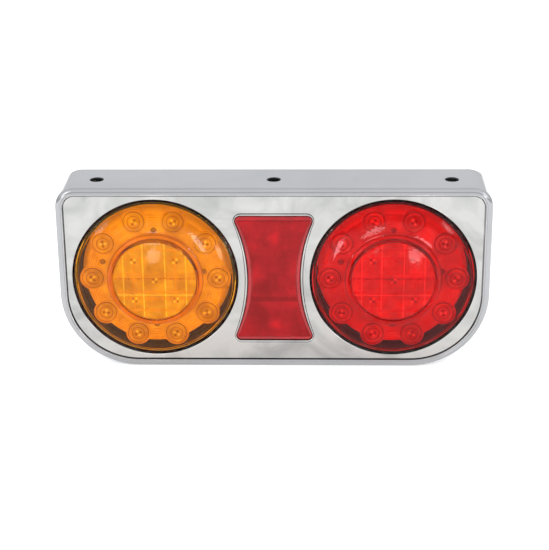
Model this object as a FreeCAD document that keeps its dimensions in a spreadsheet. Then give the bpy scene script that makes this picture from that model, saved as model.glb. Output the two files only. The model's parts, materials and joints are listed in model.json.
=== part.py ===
import FreeCAD, Part
import math
import os

import Sketcher

# Trailer tail light: two round LED lamps and a waisted reflector in one chromed housing that hangs by
# three bolts through its top wall.
#
# Row frame, in millimetres: +X to the right as seen from behind the trailer, -Y out of the lenses, +Z up.
# The origin is the axis of the middle bolt hole, on the housing's top face.
#
# Every piece is drawn face-on in a frame of its own: x right, y up, z out of the lenses, with z = 0 at the
# housing's back edge and x = y = 0 at the middle of the outline, or at a lamp's axis. put() stands it up.

SIZES = {
    # housing
    "housing_width": 372.0,
    "housing_height": 165.0,
    "housing_depth": 54.0,
    "top_corner": 17.5,
    "bottom_corner": 67.4,
    "wall": 3.0,
    "edge_round": 4.3,
    "rim": 6.6,
    "ledge": 9.0,
    "ledge_thick": 3.0,
    "plate_sink": 1.8,
    "plate_thick": 2.5,
    "plate_gap": 0.25,
    "hole_pitch": 152.0,
    "hole_bore": 5.5,
    "hole_from_front": 25.0,
    "strip_length": 330.0,
    "strip_width": 24.0,
    "strip_thick": 3.0,
    # cover at the back
    "cover_thick": 2.5,
    "cover_gap": 0.4,
    "gasket_thick": 1.5,
    "gasket_width": 8.0,
    "post_radius": 5.5,
    "post_inset": 7.4,
    "low_post_x": 60.0,
    "pilot": 1.6,
    "screw_shank": 1.5,
    "screw_head": 3.6,
    "screw_head_thick": 2.2,
    "screw_bite": 9.0,
    # lamps
    "lamp_pitch": 205.0,
    "lamp_rise": 0.5,
    "lamp_radius": 71.25,
    "opening_gap": 0.35,
    "lens_thick": 2.2,
    "lens_edge": 53.2,
    "lens_brow": 58.2,
    "lens_crest": 61.4,
    "edge_fall": 1.4,
    "edge_shoulder": 0.4,
    "edge_inset": 0.5,
    "edge_flat": 1.6,
    "crest_flat": 0.6,
    "crest_fall": 0.2,
    "disc_drop": 1.0,
    "disc_rise": 0.2,
    "web_inset": 1.4,
    "step_outer": 41.2,
    "step_inner": 35.6,
    "flange_top": 38.0,
    "flange_thick": 3.0,
    "flange_inner": 51.0,
    "seal_thick": 1.2,
    "cup_radius": 60.0,
    "cup_floor": 24.0,
    "floor_thick": 2.0,
    "ear_circle": 76.0,
    "ear_radius": 6.0,
    "ear_boss": 4.2,
    "optic_front": 50.6,
    "optic_wall": 2.2,
    "optic_radius": 58.5,
    "eye_circle": 54.2,
    "eye_radius": 8.8,
    "eye_rise": 1.0,
    "lobe_radius": 10.5,
    "pillow_radius": 34.0,
    "pillow_front": 57.6,
    "pillow_thick": 2.4,
    "pillow_gap": 0.4,
    "pillow_pitch": 18.0,
    "board_radius": 56.0,
    "board_thick": 1.6,
    "led_width": 3.2,
    "led_thick": 1.0,
    "resistor_length": 6.4,
    "resistor_width": 3.2,
    "resistor_thick": 1.2,
    "potting_thick": 7.0,
    # leads
    "lead_radius": 2.5,
    "lead_inset": 25.0,
    "lead_bend": 11.0,
    "grommet_neck": 5.0,
    "grommet_lip": 6.8,
    "grommet_lip_thick": 1.6,
    "block_length": 46.0,
    "block_width": 22.0,
    "block_thick": 15.0,
    "block_screw": 2.2,
    "block_screw_sink": 2.0,
    "screw_clearance": 0.2,
    "block_screw_pitch": 13.0,
    "block_screw_row": 12.0,
    # reflector
    "reflector_height": 114.3,
    "reflector_half": 35.2,
    "waist_half": 22.4,
    "reflector_front": 53.4,
    "reflector_corner": 4.0,
    "reflector_bevel": 1.4,
    "bead": 2.2,
    "bead_rise": 0.8,
    "tray_lip": 3.0,
    "tray_floor": 2.5,
    "tray_back": 44.0,
    "reflector_boss": 40.0,
    # cable gland in the back cover
    "gland_drop": 48.0,
    "gland_thread": 10.0,
    "gland_bore": 6.5,
    "gland_flats": 24.0,
    "gland_flange": 5.0,
    "gland_inside": 11.0,
    "gland_dome": 12.0,
    "gland_dome_radius": 11.4,
    "gland_cable": 4.0,
    "gland_neck": 8.8,
    "gland_neck_length": 3.0,
    "dome_shoulder": 4.5,
    "dome_chamfer": 2.0,
    "dome_chamfer_rise": 1.2,
    "dome_end_inset": 4.0,
    "dome_mouth": 5.5,
    "dome_mouth_length": 2.0,
    "seal_inset": 3.0,
    "locknut_thick": 5.0,
    "seal_length": 9.0,
}

EYES = 10
EARS = 4
EAR_TURN = 45.0
LOW_POST_TURN = -20.0
LAMPS = {"amber": -1, "red": 1}

document = FreeCAD.newDocument("TailLight")
nodes = []


class Length:
    """A size that carries its number and the formula that ties it to the sheet."""

    def __init__(self, value, formula=None):
        self.value = value
        self.formula = formula if formula is not None else f"({value})"

    def join(self, other, sign, value):
        return Length(value, f"({self.formula} {sign} {other.formula})")

    def __add__(self, other):
        other = length(other)
        return self.join(other, "+", self.value + other.value)

    def __sub__(self, other):
        other = length(other)
        return self.join(other, "-", self.value - other.value)

    def __mul__(self, factor):
        other = length(factor)
        return self.join(other, "*", self.value * other.value)

    def __truediv__(self, factor):
        other = length(factor)
        return self.join(other, "/", self.value / other.value)

    def __neg__(self):
        return self * -1.0

    __radd__ = __add__
    __rmul__ = __mul__


def length(size):
    return size if isinstance(size, Length) else Length(float(size))


def make_sheet():
    """The driving dimensions, one row each, with the size's name as its alias."""
    sheet = document.addObject("Spreadsheet::Sheet", "Sizes")
    for row, (name, value) in enumerate(SIZES.items(), start=1):
        sheet.set(f"A{row}", name)
        sheet.set(f"B{row}", str(value))
        sheet.setAlias(f"B{row}", name)
    document.recompute()
    return {name: Length(value, f"Sizes.{name}") for name, value in SIZES.items()}


S = make_sheet()

half_width = S["housing_width"] / 2
half_height = S["housing_height"] / 2
back_y = S["housing_depth"] - S["hole_from_front"]
plate_front = S["housing_depth"] - S["plate_sink"]
plate_back = plate_front - S["plate_thick"]
ledge_back = plate_back - S["ledge_thick"]
cover_front = S["cover_thick"]
post_end = S["cover_thick"] + S["gasket_thick"]
flange_back = S["flange_top"] - S["flange_thick"]
cup_inside = S["cup_floor"] + S["floor_thick"]
board_front = S["flange_top"] + S["board_thick"]
skirt_end = S["flange_top"] + S["seal_thick"]
lens_inner = S["lamp_radius"] - S["lens_thick"]


# ---------------------------------------------------------------------------------------------- helpers


def tie(thing, path, size):
    """Sets a property to a size and binds it to the sheet."""
    thing.setExpression(path, length(size).formula)


def put(thing, x=0.0, y=0.0):
    """Stands a face-on piece up in the row frame, with its x and y origin moved across the face."""
    start = FreeCAD.Vector(length(x).value, back_y.value, (length(y) - half_height).value)
    thing.Placement = FreeCAD.Placement(start, FreeCAD.Rotation(FreeCAD.Vector(1, 0, 0), 90))
    tie(thing, "Placement.Base.x", x)
    tie(thing, "Placement.Base.y", back_y)
    tie(thing, "Placement.Base.z", length(y) - half_height)


def new_body(label, x=0.0, y=0.0):
    body = document.addObject("PartDesign::Body", label)
    body.Label = label
    body.AllowCompound = True
    put(body, x, y)
    nodes.append(body)
    return body


class Drawing:
    """A sketch on one of its own body's planes. Every point in it is tied to the sheet."""

    def __init__(self, body, height=0.0, role="XY_Plane"):
        self.sketch = body.newObject("Sketcher::SketchObject", f"{body.Name}_sketch")
        plane = next(item for item in body.Origin.OriginFeatures if item.Role == role)
        self.sketch.AttachmentSupport = [(plane, "")]
        self.sketch.MapMode = "FlatFace"
        height = length(height)
        self.sketch.AttachmentOffset = FreeCAD.Placement(
            FreeCAD.Vector(0, 0, height.value), FreeCAD.Rotation()
        )
        tie(self.sketch, "AttachmentOffset.Base.z", height)

    def rule(self, *words):
        return self.sketch.addConstraint(Sketcher.Constraint(*words))

    def measure(self, kind, *words, size):
        """A dimension whose value comes from the sheet."""
        index = self.rule(kind, *words, length(size).value)
        tie(self.sketch, f"Constraints[{index}]", size)

    def pin(self, item, end, x, y):
        """Holds one point of the sketch at x, y."""
        for kind, axis, size in (("DistanceX", -2, length(x)), ("DistanceY", -1, length(y))):
            if abs(size.value) < 1e-9:
                self.rule("PointOnObject", item, end, axis)
            else:
                self.measure(kind, -1, 1, item, end, size=size)

    def line(self, start, end):
        points = [FreeCAD.Vector(length(x).value, length(y).value, 0) for x, y in (start, end)]
        return self.sketch.addGeometry(Part.LineSegment(*points), False)

    def polygon(self, corners):
        """A closed outline through corners."""
        sides = [self.line(*pair) for pair in zip(corners, corners[1:] + corners[:1])]
        for side, after, corner in zip(sides, sides[1:] + sides[:1], corners):
            self.rule("Coincident", side, 2, after, 1)
            self.pin(side, 1, *corner)
        return self

    def rectangle(self, x, y, width, height):
        """A rectangle about x, y."""
        x, y, wide, tall = length(x), length(y), length(width) / 2, length(height) / 2
        return self.polygon(
            [(x - wide, y - tall), (x + wide, y - tall), (x + wide, y + tall), (x - wide, y + tall)]
        )

    def circle(self, x, y, radius):
        centre = FreeCAD.Vector(length(x).value, length(y).value, 0)
        shape = Part.Circle(centre, FreeCAD.Vector(0, 0, 1), length(radius).value)
        item = self.sketch.addGeometry(shape, False)
        self.measure("Radius", item, size=radius)
        self.pin(item, 3, x, y)
        return self

    def hexagon(self, flats):
        """A nut's outline about the origin, with flats top and bottom."""
        reach = length(flats) / math.sqrt(3)
        turns = [math.radians(60 * side) for side in range(6)]
        return self.polygon([(reach * math.cos(turn), reach * math.sin(turn)) for turn in turns])

    def arc(self, centre, radius, start, end):
        circle = Part.Circle(
            FreeCAD.Vector(centre[0].value, centre[1].value, 0), FreeCAD.Vector(0, 0, 1), radius.value
        )
        shape = Part.ArcOfCircle(circle, math.radians(start), math.radians(end))
        item = self.sketch.addGeometry(shape, False)
        self.measure("Radius", item, size=radius)
        self.pin(item, 3, *centre)
        return item

    def outline(self, inset):
        """The housing's outline, moved in: small corners at the top and large ones at the bottom."""
        inset = length(inset)
        wide, tall = half_width - inset, half_height - inset
        small, large = S["top_corner"] - inset, S["bottom_corner"] - inset
        corners = [(1, 1, small, 0), (-1, 1, small, 90), (-1, -1, large, 180), (1, -1, large, 270)]
        arcs = []
        for side, level, radius, start in corners:
            centre = ((wide - radius) * side, (tall - radius) * level)
            arcs.append(self.arc(centre, radius, start, start + 90))
        for item, after in zip(arcs, arcs[1:] + arcs[:1]):
            ends = self.sketch.Geometry[item].EndPoint, self.sketch.Geometry[after].StartPoint
            side = self.sketch.addGeometry(Part.LineSegment(*ends), False)
            self.rule("Tangent", item, 2, side, 1)
            self.rule("Tangent", side, 2, after, 1)
        return self

    def waisted(self, grow):
        """The reflector's outline, moved out: flat ends, hollow sides and rounded corners."""
        grow = length(grow)
        end, waist = S["reflector_half"] + grow, S["waist_half"] + grow
        tall = S["reflector_height"] / 2 + grow
        corner = S["reflector_corner"] + grow
        sag = end - waist
        hollow = (tall * tall + sag * sag) / (sag * 2)
        middle = waist + hollow
        level = tall - corner
        reach = math.sqrt((hollow.value + corner.value) ** 2 - level.value**2)
        lean = math.degrees(math.asin(level.value / (hollow.value + corner.value)))
        corner_x = middle.value - reach

        # anticlockwise from the top right corner; a hollow side runs clockwise, so its ends swap over
        pieces = []
        for side, up, start, finish in (
            (1, 1, -lean, 90),
            (-1, 1, 90, 180 + lean),
            (-1, -1, 180 - lean, 270),
            (1, -1, 270, 360 + lean),
        ):
            centre = FreeCAD.Vector(corner_x * side, level.value * up, 0)
            round_end = Part.Circle(centre, FreeCAD.Vector(0, 0, 1), corner.value)
            shape = Part.ArcOfCircle(round_end, math.radians(start), math.radians(finish))
            item = self.sketch.addGeometry(shape, False)
            self.measure("Radius", item, size=corner)
            pieces.append(item)
        right_top, left_top, left_low, right_low = pieces
        sides = (
            self.arc((-middle, length(0)), hollow, -lean, lean),
            self.arc((middle, length(0)), hollow, 180 - lean, 180 + lean),
        )
        for first, last, up in ((right_top, left_top, 1), (left_low, right_low, -1)):
            ends = self.sketch.Geometry[first].EndPoint, self.sketch.Geometry[last].StartPoint
            item = self.sketch.addGeometry(Part.LineSegment(*ends), False)
            self.rule("Tangent", first, 2, item, 1)
            self.rule("Tangent", item, 2, last, 1)
            self.rule("Horizontal", item)
            self.measure("DistanceY", -1, 1, item, 1, size=tall * up)
        for side, first, last in ((sides[0], left_top, left_low), (sides[1], right_low, right_top)):
            self.rule("Tangent", first, 2, side, 2)
            self.rule("Tangent", side, 1, last, 1)
        return self


def feature(body, kind, drawing, low, high):
    item = body.newObject(f"PartDesign::{kind}", f"{body.Name}_{kind.lower()}")
    item.Profile = drawing.sketch
    item.Length = (length(high) - low).value
    tie(item, "Length", length(high) - low)
    return item


def pad(body, low, high, draw):
    """Adds what draw() sketches, from one height to another."""
    drawing = Drawing(body, low)
    draw(drawing)
    return feature(body, "Pad", drawing, low, high)


def pocket(body, low, high, draw):
    """Cuts what draw() sketches, from the higher height down to the lower."""
    drawing = Drawing(body, high)
    draw(drawing)
    return feature(body, "Pocket", drawing, low, high)


def polar(body, original, count):
    """Repeats a feature round the body's z axis."""
    pattern = body.newObject("PartDesign::PolarPattern", f"{body.Name}_turns")
    pattern.Originals = [original]
    pattern.Axis = (original.Profile[0], ["N_Axis"])
    pattern.Angle = 360
    pattern.Occurrences = count
    body.Tip = pattern
    return pattern


def turn(body, profile):
    """Adds a profile of radius and height, turned about the body's z axis."""
    drawing = Drawing(body, role="XZ_Plane").polygon(profile)
    item = body.newObject("PartDesign::Revolution", f"{body.Name}_turned")
    item.Profile = drawing.sketch
    item.ReferenceAxis = (drawing.sketch, ["V_Axis"])
    item.Angle = 360
    return item


def dress(body, kind, size, chosen, name):
    """A Fillet or Chamfer on the edges that chosen() picks from the body's tip."""
    document.recompute()
    base = body.Tip
    edges = [f"Edge{index}" for index, edge in enumerate(base.Shape.Edges, 1) if chosen(edge)]
    if not edges:
        raise RuntimeError(f"{body.Label}: no edge for {name}")
    item = body.newObject(f"PartDesign::{kind}", f"{body.Name}_{name}")
    item.Base = (base, edges)
    path = "Radius" if kind == "Fillet" else "Size"
    setattr(item, path, length(size).value)
    tie(item, path, size)
    return item


def at_height(edge, size):
    box = edge.BoundBox
    return abs(box.ZMin - size.value) < 1e-4 and abs(box.ZMax - size.value) < 1e-4


def circles(centres, radius):
    def draw(drawing):
        for x, y in centres:
            drawing.circle(x, y, radius)

    return draw


def disc(radius):
    return circles([(0, 0)], radius)


def stack(body, centres, layers):
    """Round pieces at every centre, each one made of discs of radius, low and high."""
    for radius, low, high in layers:
        pad(body, low, high, circles(centres, radius))


def around(circle, count, first):
    turns = [math.radians(first + 360.0 / count * index) for index in range(count)]
    return [(circle * math.cos(turn), circle * math.sin(turn)) for turn in turns]


# ----------------------------------------------------------------------------------- housing and its face


def post_centres():
    """The six screw posts of the back cover: two in the top corners, two low at the sides, two below."""
    corner = S["top_corner"] - S["post_inset"]
    shift = S["top_corner"] - corner * math.sqrt(0.5)
    high = (half_width - shift, half_height - shift)
    reach = S["bottom_corner"] - S["post_inset"]
    turn_angle = math.radians(LOW_POST_TURN)
    low = (
        half_width - S["bottom_corner"] + reach * math.cos(turn_angle),
        S["bottom_corner"] - half_height + reach * math.sin(turn_angle),
    )
    below = (S["low_post_x"], S["post_inset"] - half_height)
    return [(x * side, y) for x, y in (high, low, below) for side in (1, -1)]


def bolt_holes(body, outer, inner):
    """Cuts the three upright bolt holes between two heights of the face."""
    drawing = Drawing(body, -length(outer), role="XZ_Plane")
    middle = S["housing_depth"] - S["hole_from_front"]
    for place in (-1, 0, 1):
        drawing.circle(S["hole_pitch"] * place, middle, S["hole_bore"])
    item = feature(body, "Pocket", drawing, inner, outer)
    item.Reversed = True
    return item


def housing_shell():
    body = new_body("housing_shell")
    pad(body, 0, S["housing_depth"], lambda d: d.outline(0))
    dress(body, "Fillet", S["edge_round"], lambda e: at_height(e, S["housing_depth"]), "front_round")
    pocket(body, plate_back, S["housing_depth"], lambda d: d.outline(S["rim"]))
    pocket(body, ledge_back, plate_back, lambda d: d.outline(S["ledge"]))
    pocket(body, 0, ledge_back, lambda d: d.outline(S["wall"]))
    pad(body, post_end, ledge_back, circles(post_centres(), S["post_radius"]))
    pocket(body, post_end, post_end + S["screw_bite"] + 1, circles(post_centres(), S["pilot"]))
    bolt_holes(body, half_height, half_height - S["wall"])


def mounting_strip():
    """Steel strip under the top wall that spreads the load of the three bolts."""
    body = new_body("mounting_strip")
    top = half_height - S["wall"]
    middle = top - S["strip_thick"] / 2
    low = S["housing_depth"] - S["hole_from_front"] - S["strip_width"] / 2
    pad(
        body,
        low,
        low + S["strip_width"],
        lambda d: d.rectangle(0, middle, S["strip_length"], S["strip_thick"]),
    )
    bolt_holes(body, top, top - S["strip_thick"])


def lamp_centres():
    return [(S["lamp_pitch"] / 2 * side, S["lamp_rise"]) for side in LAMPS.values()]


def ear_centres():
    ears = around(S["ear_circle"], EARS, EAR_TURN)
    return [(x + across, y + up) for across, up in lamp_centres() for x, y in ears]


def face_plate():
    body = new_body("face_plate")
    pad(body, plate_back, plate_front, lambda d: d.outline(S["rim"] + S["plate_gap"]))
    bead_top = plate_front + S["bead_rise"]
    pad(body, plate_front, bead_top, lambda d: d.waisted(S["bead"]))
    pocket(body, plate_back, bead_top, lambda d: d.waisted(S["opening_gap"]))
    aperture = S["lamp_radius"] + S["opening_gap"]
    pocket(body, plate_back, plate_front, circles(lamp_centres(), aperture))
    pad(body, S["flange_top"], plate_back, circles(ear_centres(), S["ear_boss"]))
    pocket(body, S["flange_top"], S["flange_top"] + S["screw_bite"], circles(ear_centres(), S["pilot"]))


# -------------------------------------------------------------------------------------------- reflector


def boss_centres():
    return [(0, S["reflector_boss"]), (0, -S["reflector_boss"])]


def reflector():
    body = new_body("reflector_lens")
    rest = S["tray_back"] + S["tray_floor"]
    pad(body, rest, S["reflector_front"], lambda d: d.waisted(0))
    dress(body, "Chamfer", S["reflector_bevel"], lambda e: at_height(e, S["reflector_front"]), "bevel")
    pocket(body, rest, rest + S["tray_floor"], circles(boss_centres(), S["pilot"]))

    tray = new_body("reflector_tray")
    pad(tray, S["tray_back"], plate_back, lambda d: d.waisted(S["tray_lip"]))
    pocket(tray, rest, plate_back, lambda d: d.waisted(S["opening_gap"]))
    pocket(tray, S["tray_back"], rest, circles(boss_centres(), S["pilot"]))

    screws = new_body("reflector_screws")
    back = S["tray_back"]
    heads = (S["screw_head"], back - S["screw_head_thick"], back)
    shanks = (S["screw_shank"], back, back + S["tray_floor"] * 2)
    stack(screws, boss_centres(), [heads, shanks])


# ----------------------------------------------------------------------------------------- round lamps


def lens_profile():
    """The lens from its skirt over the sloping face to the raised ring and the disc inside it."""
    thick = S["lens_thick"]
    edge, brow, crest = S["lens_edge"], S["lens_brow"], S["lens_crest"]
    outer, inner = S["step_outer"], S["step_inner"]
    disc_edge, web = crest - S["disc_drop"], S["web_inset"]
    return [
        (S["lamp_radius"], skirt_end),
        (S["lamp_radius"], edge - S["edge_fall"]),
        (S["lamp_radius"] - S["edge_inset"], edge - S["edge_shoulder"]),
        (S["lamp_radius"] - S["edge_flat"], edge),
        (outer, brow),
        (inner + S["crest_flat"], crest - S["crest_fall"]),
        (inner, crest),
        (inner - S["disc_drop"], disc_edge),
        (length(0), disc_edge + S["disc_rise"]),
        (length(0), disc_edge - thick),
        (inner - web, disc_edge - thick),
        (outer - web, brow - thick),
        (lens_inner - web, edge - thick),
        (lens_inner, edge - thick - web),
        (lens_inner, skirt_end),
    ]


def base_profile():
    """The black lamp body: a flange that the lens stands on and a shallow cup behind it."""
    inside = S["cup_radius"] - S["floor_thick"]
    return [
        (length(0), S["cup_floor"]),
        (S["cup_radius"], S["cup_floor"]),
        (S["cup_radius"], flange_back),
        (S["lamp_radius"], flange_back),
        (S["lamp_radius"], S["flange_top"]),
        (S["flange_inner"], S["flange_top"]),
        (S["flange_inner"], flange_back),
        (inside, flange_back),
        (inside, cup_inside),
        (length(0), cup_inside),
    ]


def scalloped(body, low, high, plain, lobe, make):
    """A disc and ten lobes on its edge, added or cut."""
    make(body, low, high, disc(plain))
    one = make(body, low, high, circles([(S["eye_circle"], 0)], lobe))
    polar(body, one, EYES)


def lamp(colour, side):
    """One sealed round lamp. Its lead leaves the cup on the side of the other lamp."""
    x, y = S["lamp_pitch"] / 2 * side, S["lamp_rise"]
    lead_x = S["lead_inset"] * -side

    turn(new_body(f"{colour}_lens", x, y), lens_profile())

    base = new_body(f"{colour}_lamp_base", x, y)
    turn(base, base_profile())
    first_ear = around(S["ear_circle"], EARS, EAR_TURN)[:1]
    polar(base, pad(base, flange_back, S["flange_top"], circles(first_ear, S["ear_radius"])), EARS)
    polar(base, pocket(base, flange_back, S["flange_top"], circles(first_ear, S["pilot"])), EARS)
    pocket(base, S["cup_floor"], cup_inside, circles([(lead_x, 0)], S["grommet_neck"]))

    seal = new_body(f"{colour}_lens_seal", x, y)
    pad(seal, S["flange_top"], skirt_end, disc(S["lamp_radius"]))
    pocket(seal, S["flange_top"], skirt_end, disc(lens_inner))

    optic = new_body(f"{colour}_optic", x, y)
    front, wall = S["optic_front"], S["optic_wall"]
    scalloped(optic, S["flange_top"], front, S["optic_radius"], S["lobe_radius"], pad)
    eye = pad(optic, front, front + S["eye_rise"], circles([(S["eye_circle"], 0)], S["eye_radius"]))
    polar(optic, eye, EYES)
    hollow = S["optic_radius"] - wall, S["lobe_radius"] - wall
    scalloped(optic, S["flange_top"], front - wall, *hollow, pocket)
    pocket(optic, front - wall, front, disc(S["pillow_radius"]))

    pillow = new_body(f"{colour}_pillow_optic", x, y)
    pillow_back = S["pillow_front"] - S["pillow_thick"]
    rim = S["pillow_radius"] - S["pillow_gap"]
    pad(pillow, board_front, S["pillow_front"], disc(rim))
    pocket(pillow, board_front, pillow_back, disc(rim - S["optic_wall"]))

    board = new_body(f"{colour}_circuit_board", x, y)
    pad(board, S["flange_top"], board_front, disc(S["board_radius"]))

    leds = new_body(f"{colour}_leds", x, y)
    led_top = board_front + S["led_thick"]
    wide = S["led_width"]
    ring = pad(leds, board_front, led_top, lambda d: d.rectangle(S["eye_circle"], 0, wide, wide))
    polar(leds, ring, EYES)
    pitch = S["pillow_pitch"]
    corners = [(pitch * across, pitch * up) for across in (-1, 1) for up in (-1, 1)]
    sides = [(pitch * across, pitch * up) for across, up in ((1, 0), (0, 1), (-1, 0), (0, -1))]

    def middle_leds(drawing):
        for across, up in [(0, 0)] + corners:
            drawing.rectangle(across, up, wide, wide)

    pad(leds, board_front, led_top, middle_leds)

    resistors = new_body(f"{colour}_resistors", x, y)
    resistor_back = S["flange_top"] - S["resistor_thick"]

    def resistor_rows(drawing):
        for across, up in sides:
            drawing.rectangle(across, up, S["resistor_length"], S["resistor_width"])

    pad(resistors, resistor_back, S["flange_top"], resistor_rows)

    potting = new_body(f"{colour}_potting", x, y)
    inside = S["cup_radius"] - S["floor_thick"]
    pad(potting, cup_inside, cup_inside + S["potting_thick"], disc(inside))

    screws = new_body(f"{colour}_lamp_screws", x, y)
    ears = around(S["ear_circle"], EARS, EAR_TURN)
    heads = (S["screw_head"], flange_back - S["screw_head_thick"], flange_back)
    shanks = (S["screw_shank"], flange_back, S["flange_top"] + S["screw_bite"] - 1)
    stack(screws, ears, [heads, shanks])

    grommet = new_body(f"{colour}_lead_grommet", x, y)
    lip = S["cup_floor"] - S["grommet_lip_thick"]
    stack(
        grommet,
        [(lead_x, 0)],
        [(S["grommet_lip"], lip, S["cup_floor"]), (S["grommet_neck"], S["cup_floor"], cup_inside)],
    )
    pocket(grommet, lip, cup_inside, circles([(lead_x, 0)], S["lead_radius"]))

    lead(colour, side)


def lead(colour, side):
    """A round lead from the lamp's grommet, round one bend and straight into the terminal block."""
    body = new_body(f"{colour}_lead", 0, S["lamp_rise"])
    bend = S["lead_bend"]
    lip = S["cup_floor"] - S["grommet_lip_thick"]
    level = lip - bend
    start_x = (S["lamp_pitch"] / 2 - S["lead_inset"]) * side
    bend_x = start_x - bend * side
    end_x = S["block_length"] / 2 * side

    route = Drawing(body, role="XZ_Plane")
    first = 180 if side < 0 else 270
    curve = route.arc((bend_x, lip), bend, first, first + 90)
    high, low = (1, 2) if side < 0 else (2, 1)
    down = route.line((start_x, cup_inside), (start_x, lip))
    across = route.line((bend_x, level), (end_x, level))
    route.rule("Tangent", down, 2, curve, high)
    route.rule("Tangent", curve, low, across, 1)
    route.measure("DistanceY", -1, 1, down, 1, size=cup_inside)
    route.measure("DistanceX", -1, 1, across, 2, size=end_x)

    section = Drawing(body, cup_inside).circle(start_x, 0, S["lead_radius"])
    pipe = body.newObject("PartDesign::AdditivePipe", f"{body.Name}_pipe")
    pipe.Profile = section.sketch
    pipe.Spine = route.sketch


# ---------------------------------------------------------------------------- back cover and its fittings


def back_cover():
    cover = new_body("back_cover")
    inset = S["wall"] + S["cover_gap"]
    pad(cover, 0, cover_front, lambda d: d.outline(inset))
    pocket(cover, 0, cover_front, circles(post_centres(), S["pilot"]))
    gland_hole = S["gland_thread"] + S["screw_clearance"]
    pocket(cover, 0, cover_front, circles([(0, -S["gland_drop"])], gland_hole))

    gasket = new_body("back_cover_gasket")
    pad(gasket, cover_front, post_end, lambda d: d.outline(inset))
    pocket(gasket, cover_front, post_end, lambda d: d.outline(inset + S["gasket_width"]))
    pocket(gasket, cover_front, post_end, circles(post_centres(), S["pilot"]))

    screws = new_body("back_cover_screws")
    heads = (S["screw_head"], -S["screw_head_thick"], 0)
    shanks = (S["screw_shank"], 0, post_end + S["screw_bite"])
    stack(screws, post_centres(), [heads, shanks])


def terminal_block():
    body = new_body("terminal_block", 0, S["lamp_rise"])
    top = cover_front + S["block_thick"]
    pad(body, cover_front, top, lambda d: d.rectangle(0, 0, S["block_length"], S["block_width"]))
    rows = [
        (S["block_screw_pitch"] * across, S["block_screw_row"] / 2 * up)
        for across in (-1, 0, 1)
        for up in (-1, 1)
    ]
    sink = S["block_screw_sink"]
    pocket(body, top - sink * 3, top, circles(rows, S["block_screw"] + S["screw_clearance"]))

    screws = new_body("terminal_screws", 0, S["lamp_rise"])
    stack(screws, rows, [(S["block_screw"], top - sink * 3, top - sink)])


def cable_gland():
    """A plastic gland: body through the cover, locknut inside, dome nut and rubber seal outside."""
    y = -S["gland_drop"]
    flange_end = -S["gland_flange"]
    body = new_body("gland_body", 0, y)
    pad(body, flange_end, 0, lambda d: d.hexagon(S["gland_flats"]))
    pad(body, 0, S["gland_inside"], disc(S["gland_thread"]))
    neck_end = flange_end - S["gland_neck_length"]
    pad(body, neck_end, flange_end, disc(S["gland_neck"]))
    pocket(body, neck_end, S["gland_inside"], disc(S["gland_bore"]))

    locknut = new_body("gland_locknut", 0, y)
    pad(locknut, cover_front, cover_front + S["locknut_thick"], lambda d: d.hexagon(S["gland_flats"]))
    pocket(locknut, cover_front, cover_front + S["locknut_thick"], disc(S["gland_thread"]))

    dome = new_body("gland_dome_nut", 0, y)
    end = flange_end - S["gland_dome"]
    reach = S["gland_dome_radius"]
    seal_back = end + S["seal_inset"]
    turn(
        dome,
        [
            (S["gland_neck"], flange_end),
            (reach, flange_end),
            (reach, end + S["dome_shoulder"]),
            (reach - S["dome_chamfer"], end + S["dome_chamfer_rise"]),
            (reach - S["dome_end_inset"], end),
            (S["dome_mouth"], end),
            (S["dome_mouth"], end + S["dome_mouth_length"]),
            (S["gland_bore"], seal_back),
            (S["gland_bore"], neck_end),
            (S["gland_neck"], neck_end),
        ],
    )

    seal = new_body("gland_seal", 0, y)
    pad(seal, seal_back, seal_back + S["seal_length"], disc(S["gland_bore"]))
    pocket(seal, seal_back, seal_back + S["seal_length"], disc(S["gland_cable"]))


# ------------------------------------------------------------------------------------------- the whole


def check_document():
    """Stops with a plain message if any object failed, is not valid, or cut nothing."""
    document.recompute()
    for item in document.Objects:
        if any(word in ("Invalid", "Error") for word in item.State):
            raise RuntimeError(f"{item.Name}: {item.State}")
    for body in nodes:
        if body.Shape.isNull() or not body.Shape.isValid() or not body.Shape.Solids:
            raise RuntimeError(f"{body.Label}: no valid solid")
        for item in body.Group:
            cuts = item.TypeId in ("PartDesign::Pocket", "PartDesign::Groove")
            if cuts and item.Shape.Volume > item.BaseFeature.Shape.Volume - 1e-3:
                raise RuntimeError(f"{item.Name} cuts nothing")


def main():
    housing_shell()
    mounting_strip()
    face_plate()
    reflector()
    for colour, side in LAMPS.items():
        lamp(colour, side)
    back_cover()
    terminal_block()
    cable_gland()
    check_document()
    os.makedirs("parts", exist_ok=True)
    for body in nodes:
        body.Shape.exportStep(os.path.join("parts", f"{body.Label}.step"))
        print(body.Label, len(body.Shape.Solids), round(body.Shape.Volume, 1))


main()
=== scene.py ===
import json
import math

import bmesh
import bpy
from mathutils import Matrix, Vector
from mathutils.geometry import tessellate_polygon


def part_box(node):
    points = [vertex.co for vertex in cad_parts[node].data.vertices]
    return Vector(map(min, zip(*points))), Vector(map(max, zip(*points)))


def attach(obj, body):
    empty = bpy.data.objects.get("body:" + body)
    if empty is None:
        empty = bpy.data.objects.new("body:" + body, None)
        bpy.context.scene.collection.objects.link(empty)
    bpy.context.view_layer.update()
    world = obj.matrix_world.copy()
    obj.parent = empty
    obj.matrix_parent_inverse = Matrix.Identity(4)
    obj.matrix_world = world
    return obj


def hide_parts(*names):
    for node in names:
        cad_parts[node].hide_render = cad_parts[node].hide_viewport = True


# A trailer tail light: chromed housing and face, two round LED lamps, a waisted reflector and a black back.
#
# Pieces are drawn face-on in millimetres: x right, y up, z out of the lenses from the housing's back edge.
# Each one is then stood up in the frame about an origin that comes from the CAD nodes.

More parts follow.
